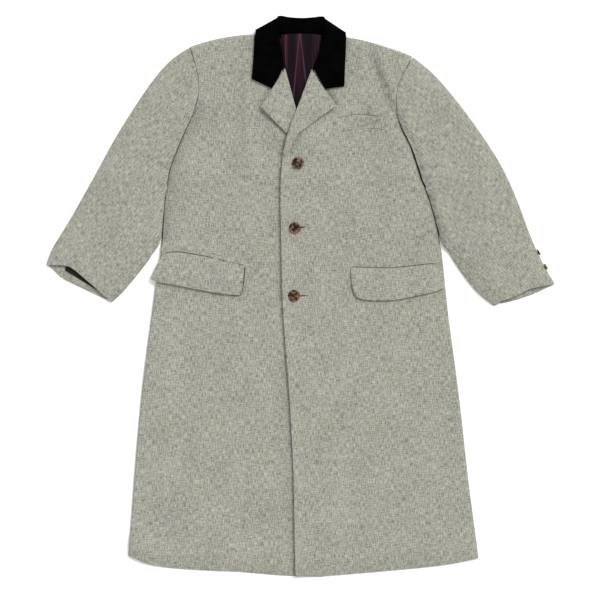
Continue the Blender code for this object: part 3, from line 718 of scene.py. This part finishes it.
neck_satin = lining("neck_satin", highlights=((-4.0, -0.09, 2.4), (0.8, 0.12, 2.4), (-32, 0.0, 2.2)))
body_satin = lining("body_satin")
print("stripes", STRIPE_WIDTH, "mm wide")

# %% [markdown]
# At a cuff the tweed is turned in and the lining begins a little further up. The sleeve's inner
# wall has both, so one material changes from one to the other at a line across the sleeve.

# %% Inside of the cuffs
CUFF_LINING = (0.011, 0.008, 0.009, 1)
CHANGE = 0.3


def cuff_inside(name, grain, fold_side, at, way, depth):
    """Tweed to a depth from a place on the cuff's edge, going the given way, then lining."""
    made = tweed(name, grain, fold_side)
    net = Net(made.node_tree)
    shader = made.node_tree.nodes["Principled BSDF"]
    cloth_colour = shader.inputs["Base Color"].links[0].from_socket
    parts = net.tree.nodes.new("ShaderNodeSeparateXYZ")
    net.put(parts.inputs[0], coordinates(net))
    off_x = net.math("SUBTRACT", parts.outputs[0], at[0] * MM)
    off_y = net.math("SUBTRACT", parts.outputs[1], at[1] * MM)
    up = net.math("ADD", net.math("MULTIPLY", off_x, way[0]), net.math("MULTIPLY", off_y, way[1]))
    is_lining = net.span(up, (depth - CHANGE) * MM, (depth + CHANGE) * MM)
    net.put(shader.inputs["Base Color"], net.mix(is_lining, cloth_colour, CUFF_LINING))
    return made


inside_cuff_right = cuff_inside("right_cuff_inside", -29, -0.5, (-410, -15), (0.513, 0.858), 9)
inside_cuff_left = cuff_inside("left_cuff_inside", 29, 0.5, (415, -22), (-0.33, 0.944), 20)
print("made", inside_cuff_right.name, "and", inside_cuff_left.name)

# %% [markdown]
# The buttons are turned from a mottled brown plastic like tortoiseshell: clouds of amber in dark
# brown, under a polish.

# %% Mottled button
BUTTONS = ("button_1", "button_2", "button_3", "cuff_button_1", "cuff_button_2")
horn = bpy.data.materials.new("mottled_button")
horn.use_nodes = True
shader = horn.node_tree.nodes["Principled BSDF"]
shader.inputs["Roughness"].default_value = 0.45
shader.inputs["Coat Weight"].default_value = 0.06
shader.inputs["Coat Roughness"].default_value = 0.3
shader.inputs["Specular IOR Level"].default_value = 0.12
net = Net(horn.node_tree)
place = coordinates(net)
clouds = net.noise(place, 125.0, 2.0, 0.5)
specks = net.noise(place, 420.0, 2.0)
amber = net.mix(net.span(specks, 0.35, 0.7), (0.115, 0.052, 0.026, 1), (0.275, 0.170, 0.098, 1))
net.put(shader.inputs["Base Color"],
        net.mix(net.span(clouds, 0.45, 0.60), (0.013, 0.005, 0.002, 1), amber))
net.put(shader.inputs["Roughness"], net.span(specks, 0.3, 0.7, 0.38, 0.52))
for node in BUTTONS:
    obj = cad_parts[node]
    obj.data.materials.clear()
    obj.data.materials.append(horn)
print(len(BUTTONS), "buttons have their finish")

# %% [markdown]
# Now the cut pieces, from the floor up. The outside of each wall is tweed, and its inside is mostly
# lining, so every face is given one of two materials by the way it points. Along the front edge and
# the hem the inside is tweed too, because the facing and the turned-up hem are of the same cloth.

# %% Dress a piece with its outside and its lining
def dress(piece, outside, inside, is_inside):
    piece.data.materials.append(outside)
    piece.data.materials.append(inside)
    for face in piece.data.polygons:
        face.material_index = 1 if is_inside(face) else 0


TURNED = 0.35
ON_FLOOR = 1.2 * MM
FACING_WIDTH = 110 * MM
HEM_TOP = -540 * MM


def faces_down(face):
    return face.normal.z < -TURNED and face.center.z > ON_FLOOR


def faces_up(face):
    return face.normal.z > TURNED


def lined(face):
    """Inside a front: lining, but not on the facing of the front edge or the turned-up hem."""
    return faces_down(face) and abs(face.center.x) > FACING_WIDTH and face.center.y > HEM_TOP


cloth = {}
for node, outside, inside, levels, longest, test in (
    ("back", tweed_back, body_satin, 2, None, faces_up),
    ("front_right", tweed_right, body_satin, 3, 0.045, lined),
    ("front_left", tweed_left, body_satin, 3, 0.045, lined),
    ("sleeve_top_right", tweed_sleeve_right, inside_cuff_right, 3, None, faces_down),
    ("sleeve_top_left", tweed_sleeve_left, inside_cuff_left, 3, None, faces_down),
    ("sleeve_under_right", tweed_sleeve_right, inside_cuff_right, 3, None, faces_up),
    ("sleeve_under_left", tweed_sleeve_left, inside_cuff_left, 3, None, faces_up),
    ("lapel_right", tweed_lapel_right, tweed_lapel_right, 3, None, faces_down),
    ("lapel_left", tweed_lapel_left, tweed_lapel_left, 3, None, faces_down),
    ("flap_right", tweed_right, body_satin, 3, None, faces_down),
    ("flap_left", tweed_left, body_satin, 3, None, faces_down),
    ("breast_welt", tweed_left, body_satin, 3, None, faces_down),
):
    piece = cloth_copy(node, "cloth_" + node, levels, longest=longest)
    shape(piece, node)
    raise_folds(piece)
    dress(piece, outside, inside, test)
    cloth[node] = piece
    print(piece.name, len(piece.data.polygons), "faces")

collar = cloth_copy("collar", "cloth_collar", 3)
shape(collar, "collar")
raise_folds(collar, 0.5)
collar.data.materials.append(velvet)
cloth["collar"] = collar

neck = cloth_copy("neck_lining", "cloth_neck_lining", 3)
shape(neck, "neck_lining")
neck.data.materials.append(neck_satin)
cloth["neck_lining"] = neck
print(len(cloth), "cloth pieces")

# %% [markdown]
# A buttonhole is a slit whose raw edges are held by a close row of thread. Each one is a flat ring
# of thread with the slit inside it, laid on the cloth that carries it; an open slit is a dark disc
# of painted shade.

# %% Buttonholes
def plain(name, colour):
    made = bpy.data.materials.new(name)
    made.use_nodes = True
    shader = made.node_tree.nodes["Principled BSDF"]
    shader.inputs["Roughness"].default_value = 0.8
    shader.inputs["Specular IOR Level"].default_value = 0.1
    net = Net(made.node_tree)
    strands = net.noise(coordinates(net), 1800.0, 1.0)
    darker = tuple(part * 0.6 for part in colour)
    net.put(shader.inputs["Base Color"],
            net.mix(net.span(strands, 0.35, 0.65), (*darker, 1), (*colour, 1)))
    return made


hole_thread = plain("buttonhole_thread", (0.16, 0.16, 0.125))
pale_thread = plain("lapel_hole_thread", (0.40, 0.40, 0.33))
# Painted shade inside an open slit.
slit_painted_shade = plain("slit_shade", (0.016, 0.015, 0.012))
slit_closed = plain("closed_slit", (0.20, 0.20, 0.16))
# How far above the cloth a ring or a strip lies, in millimetres.
LIFT = 0.15


def surface_z(spots, x, y, reach=4.5):
    """The height of a piece's upper face near a place, in millimetres."""
    away = np.hypot(spots[:, 0] - x, spots[:, 1] - y)
    return spots[away < max(reach, away.min() + 1)][:, 2].max()


def buttonhole(name, piece, start, end, width, thread, slit):
    """A ring of thread round a slit from one place to another on a piece."""
    start, end = Vector(start), Vector(end)
    middle, run = (start + end) / 2, end - start
    spots = points_of(piece)
    low, high = surface_z(spots, *start), surface_z(spots, *end)
    bpy.ops.object.select_all(action="DESELECT")
    bpy.ops.mesh.primitive_torus_add(major_segments=36, minor_segments=8, major_radius=1,
                                     minor_radius=0.22, location=(0, 0, 0))
    made = bpy.context.object
    made.name = name
    made.data.materials.append(thread)
    made.data.materials.append(slit)
    bpy.ops.object.mode_set(mode="EDIT")
    bpy.ops.mesh.select_all(action="DESELECT")
    bpy.ops.mesh.primitive_circle_add(vertices=36, radius=1, fill_type="NGON",
                                      location=(0, 0, 0))
    made.active_material_index = 1
    bpy.ops.object.material_slot_assign()
    bpy.ops.mesh.select_all(action="SELECT")
    bpy.ops.transform.resize(value=(run.length / 2, width / 2, 1.1), center_override=(0, 0, 0))
    bpy.ops.transform.resize(value=(MM, MM, MM), center_override=(0, 0, 0))
    bpy.ops.mesh.normals_make_consistent(inside=False)
    bpy.ops.object.mode_set(mode="OBJECT")
    bpy.ops.object.shade_smooth()
    spots = points_of(made)
    along = spots[:, 0] / run.length + 0.5
    turn = math.atan2(run.y, run.x)
    x = middle.x + spots[:, 0] * math.cos(turn) - spots[:, 1] * math.sin(turn)
    y = middle.y + spots[:, 0] * math.sin(turn) + spots[:, 1] * math.cos(turn)
    z = spots[:, 2] + low + (high - low) * along + LIFT
    put_points(made, np.stack([x, y, z], axis=1))
    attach(made, "root")
    return made


HOLES = (
    ("buttonhole_1", "front_left", (-20.5, 281), (-12, 283), 3.0, hole_thread, slit_painted_shade),
    ("buttonhole_2", "front_left", (-8, 145), (9.7, 147.5), 2.8, hole_thread, slit_painted_shade),
    ("buttonhole_3", "front_left", (-8, -0.8), (14.8, -0.3), 2.1, hole_thread, slit_painted_shade),
    ("lapel_buttonhole", "lapel_left", (9.5, 437), (25, 434), 2.0, pale_thread, slit_closed),
)
for name, node, start, end, width, thread, slit in HOLES:
    buttonhole(name, cloth[node], start, end, width, thread, slit)
print(len(HOLES), "buttonholes")

# %% [markdown]
# A seam sinks between the two cloths that it joins and shows as a fine dark line of shadow, too
# narrow for the points of the cloth. So each is a narrow strip in a dark colour, partly the seam's
# thread and partly painted shade, laid on the cloth along its path and drawn in at both ends. The
# crevices beside the sleeves are such strips of painted shade as well.

# %% Seam lines of painted shade
STEPS = 60
LOOK_AHEAD = 0.02


def seam_shade_strip(name, piece, path, width, finish, reach, taper):
    """A strip of painted shade of this width along a path, narrower towards its ends by the taper's
    share.
    """
    bpy.ops.object.select_all(action="DESELECT")
    bpy.ops.mesh.primitive_grid_add(x_subdivisions=STEPS, y_subdivisions=2, size=1)
    made = bpy.context.object
    made.name = name
    made.data.materials.append(finish)
    spots = points_of(made) * MM
    steps = np.round((spots[:, 0] + 0.5) * STEPS) / STEPS
    lengths = np.hypot(*np.diff(np.array(path, float), axis=0).T)
    reached = np.concatenate([[0], np.cumsum(lengths)]) / lengths.sum()
    path_x, path_y = np.array(path, float).T
    x = np.interp(steps, reached, path_x)
    y = np.interp(steps, reached, path_y)
    ahead_x = np.interp(steps + LOOK_AHEAD, reached, path_x) - x
    ahead_y = np.interp(steps + LOOK_AHEAD, reached, path_y) - y
    long = np.maximum(np.hypot(ahead_x, ahead_y), 1e-6)
    ahead_x = np.where(long > 1e-4, ahead_x / long, 1)
    ahead_y = np.where(long > 1e-4, ahead_y / long, 0)
    side = spots[:, 1] * width * np.sqrt(np.clip(1 - (2 * steps - 1) ** 8, 0.05, 1))
    side = side * (1 - taper + taper * np.sin(np.pi * steps))
    x, y = x - ahead_y * side, y + ahead_x * side
    below = points_of(piece)
    z = np.array([surface_z(below, at_x, at_y, reach) for at_x, at_y in zip(x, y)])
    put_points(made, np.stack([x, y, z + LIFT], axis=1))
    bpy.ops.object.shade_smooth()
    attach(made, "root")


# Painted shade: these dark colours stand for the shadow in seam ditches, beside raised edges and in
# crevices.
seam_shade = plain("seam_shade", (0.085, 0.085, 0.070))
soft_seam_shade = plain("soft_seam_shade", (0.22, 0.22, 0.18))
# Painted shade for the crevices beside the sleeves, softer beside the right sleeve.
underarm_shade = plain("underarm_shade", (0.060, 0.060, 0.048))
underarm_soft_shade = plain("underarm_soft_shade", (0.10, 0.10, 0.08))
# Each strip: name, the piece that carries it, path, width, finish (its painted shade), taper.
SEAM_SHADE_STRIPS = (
    ("flap_seam_shade_right", "front_right",
     ((-292, 90), (-280, 93.5), (-258, 94), (-208, 85.5), (-119, 64.5)), 1.5, seam_shade, 0.0),
    ("flap_seam_shade_left", "front_left",
     ((296, 67.5), (278, 68.5), (243, 64.5), (195, 59.5), (107, 61.5)), 1.3, seam_shade, 0.0),
    ("welt_opening_shade", "front_left",
     ((78, 381), (100, 386), (117, 389.5), (144, 388.5), (168, 385.5), (181, 383.5)),
     1.0, soft_seam_shade, 0.0),
    ("welt_end_shade", "front_left", ((180, 382), (178.5, 370), (177, 359)), 1.0, soft_seam_shade, 0.0),
    ("welt_foot_shade", "front_left", ((84, 356), (117, 358), (150, 359), (176, 358)),
     0.8, soft_seam_shade, 0.0),
    # Painted shadow beside the left lapel's upper edge and under the right flap's loose end.
    ("lapel_edge_shade_left", "front_left", ((52, 450), (67, 429), (80.5, 407)), 2.2, soft_seam_shade, 0.0),
    ("flap_end_shade_right", "front_right",
     ((-119, 64), (-121, 38), (-123.5, 13), (-130, 0), (-145, -2)), 2.2, seam_shade, 0.0),
    ("underarm_crevice_shade_right", "front_right",
     ((-219.5, 407), (-235, 380), (-254, 338.6), (-278, 278.4), (-287.5, 235.4)),
     1.9, underarm_soft_shade, 0.7),
    ("underarm_crevice_shade_left", "front_left",
     ((208, 381), (220, 351), (236, 325.7), (249.5, 282.7), (261.5, 248.3), (278.5, 205.3),
      (290.5, 162.3), (299, 123.6)), 4.6, underarm_shade, 0.7),
)
for name, node, path, width, finish, taper in SEAM_SHADE_STRIPS:
    seam_shade_strip(name, cloth[node], path, width, finish, 2.5 if taper else 4.5, taper)
print(len(SEAM_SHADE_STRIPS), "seam lines")

# %% [markdown]
# The thread that holds a button comes up through its four holes and crosses in the dish: four short
# ends and two strands, in one mesh.

# %% Button thread
button_thread = plain("button_thread", (0.020, 0.012, 0.008))
DISH_DEPTH = 1.6 * MM
END_RADIUS = 0.9 * MM
END_DEPTH = 0.3 * MM
STRAND_RADIUS = 0.55 * MM
HOLE_APART = 2.3 * MM
for number in (1, 2, 3):
    low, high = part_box(f"button_{number}")
    centre = (low + high) / 2
    dish = high.z - DISH_DEPTH
    bpy.ops.object.select_all(action="DESELECT")
    bpy.ops.mesh.primitive_cylinder_add(vertices=16, radius=END_RADIUS, depth=END_DEPTH,
                                        location=(0, 0, 0))
    made = bpy.context.object
    made.name = f"button_{number}_thread"
    made.data.materials.append(button_thread)
    bpy.ops.object.mode_set(mode="EDIT")
    bpy.ops.mesh.select_all(action="SELECT")
    bpy.ops.transform.translate(value=(centre.x - HOLE_APART, centre.y - HOLE_APART,
                                       dish + END_DEPTH / 2))
    for side_x, side_y in ((1, -1), (-1, 1), (1, 1)):
        bpy.ops.mesh.select_all(action="DESELECT")
        bpy.ops.mesh.primitive_cylinder_add(
            vertices=16, radius=END_RADIUS, depth=END_DEPTH,
            location=(centre.x + side_x * HOLE_APART, centre.y + side_y * HOLE_APART,
                      dish + END_DEPTH / 2))
    for turn in (45, 135):
        bpy.ops.mesh.select_all(action="DESELECT")
        bpy.ops.mesh.primitive_cylinder_add(
            vertices=12, radius=STRAND_RADIUS, depth=2.83 * HOLE_APART,
            location=(centre.x, centre.y, dish + 1.5 * END_DEPTH),
            rotation=(math.radians(90), 0, math.radians(turn)))
    bpy.ops.object.mode_set(mode="OBJECT")
    bpy.ops.object.shade_smooth()
    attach(made, "root")
print("3 button threads")

# %% [markdown] Each sheet's flat size and area are worked out here from the
# finished piece and printed. Half its surface is the area, its longer side and a seam are the
# length, and the width follows if the piece fills four fifths of that rectangle.

def surface_area(piece):
    return sum(face.area for face in piece.data.polygons) / 2


FILL = 0.8
SEAMS = 20 * MM
for node, piece in cloth.items():
    low, high = points_of(piece).min(axis=0) * MM, points_of(piece).max(axis=0) * MM
    spans = (high - low)[:2].tolist()
    length = max(spans) + SEAMS
    area = surface_area(piece)
    width = area / (FILL * length)
    print(node, "cut from", round(width, 3), "x", round(length, 3), "m, area", round(area, 4))

# %% [markdown]
# The coat lies on a plain pale floor, seen from straight above through a long lens. Most of the
# light is a wide pale sky, which leaves the crevices dark, and a soft window light comes slanting
# from the upper right, so that folds and raised edges get a light and a dark side.

# %% Floor, camera and light
PIXEL = 2.15 * MM
PICTURE = 600
CENTRE = Vector((-0.5 * PIXEL, -4.5 * PIXEL, 0))
bpy.ops.object.select_all(action="DESELECT")
bpy.ops.mesh.primitive_plane_add(size=8, location=(0, 0, -0.0006))
floor = bpy.context.object
floor.name = "floor"
paper = bpy.data.materials.new("floor_paper")
paper.use_nodes = True
paper_shader = paper.node_tree.nodes["Principled BSDF"]
paper_shader.inputs["Base Color"].default_value = (0.97, 0.97, 0.97, 1)
paper_shader.inputs["Roughness"].default_value = 0.9
floor.data.materials.append(paper)

CAMERA_HEIGHT = 5.0
SENSOR = 36
camera = bpy.data.objects.new("camera", bpy.data.cameras.new("camera"))
bpy.context.scene.collection.objects.link(camera)
camera.location = CENTRE + Vector((0, 0, CAMERA_HEIGHT))
camera.data.sensor_width = SENSOR
camera.data.lens = SENSOR * CAMERA_HEIGHT / (PICTURE * PIXEL)
camera.data.clip_end = 50
bpy.context.scene.camera = camera

sun = bpy.data.objects.new("window", bpy.data.lights.new("window", "SUN"))
bpy.context.scene.collection.objects.link(sun)
sun.data.energy = 2.3
sun.data.angle = math.radians(24)
sun.data.color = (1.0, 0.985, 0.95)
sun.location = (0.3, 1.2, 3.4)
sun.rotation_euler = Vector((-0.5, -0.6, -1.0)).to_track_quat("-Z", "Y").to_euler()
world = bpy.data.worlds.new("studio")
bpy.context.scene.world = world
world.use_nodes = True
world.node_tree.nodes["Background"].inputs["Color"].default_value = (0.965, 0.97, 0.975, 1)
world.node_tree.nodes["Background"].inputs["Strength"].default_value = 0.92
bpy.context.scene.view_settings.view_transform = "Standard"
print("lens", round(camera.data.lens), "mm, camera", CAMERA_HEIGHT, "m up")
